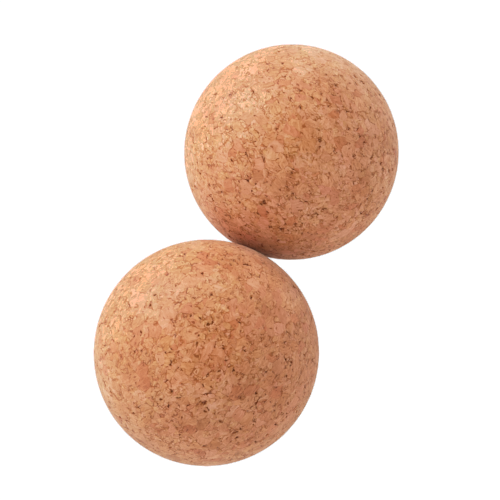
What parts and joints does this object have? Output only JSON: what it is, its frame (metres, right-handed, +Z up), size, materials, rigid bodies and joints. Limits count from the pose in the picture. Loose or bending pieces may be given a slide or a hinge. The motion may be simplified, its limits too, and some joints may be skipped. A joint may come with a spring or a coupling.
{
  "type": "cork massage ball pair",
  "caption": "Solid cork massage balls, turned smooth from pressed cork granules, lying side by side and just touching; each rolls freely under a foot, hand or back.",
  "frame": {"origin": "on the supporting surface, midway between the two balls, below the point where they touch", "axes": "+Z up; +Y from the front ball's centre to the rear ball's centre; +X completes the right-handed frame"},
  "size_m": [0.065, 0.1302, 0.065],
  "materials": {
    "cork_front": "sanded agglomerated cork, matt, with open pores",
    "cork_rear": "sanded agglomerated cork, matt, with open pores"
  },
  "bodies": {
    "front_ball": {"front_ball": "cork_front"},
    "rear_ball": {"rear_ball": "cork_rear"}
  },
  "joints": [
    {"name": "rear_ball_apart", "type": "slide", "parent": "front_ball", "child": "rear_ball", "axis": [0, 1, 0], "range_m": [0, 0.2042]}
  ]
}
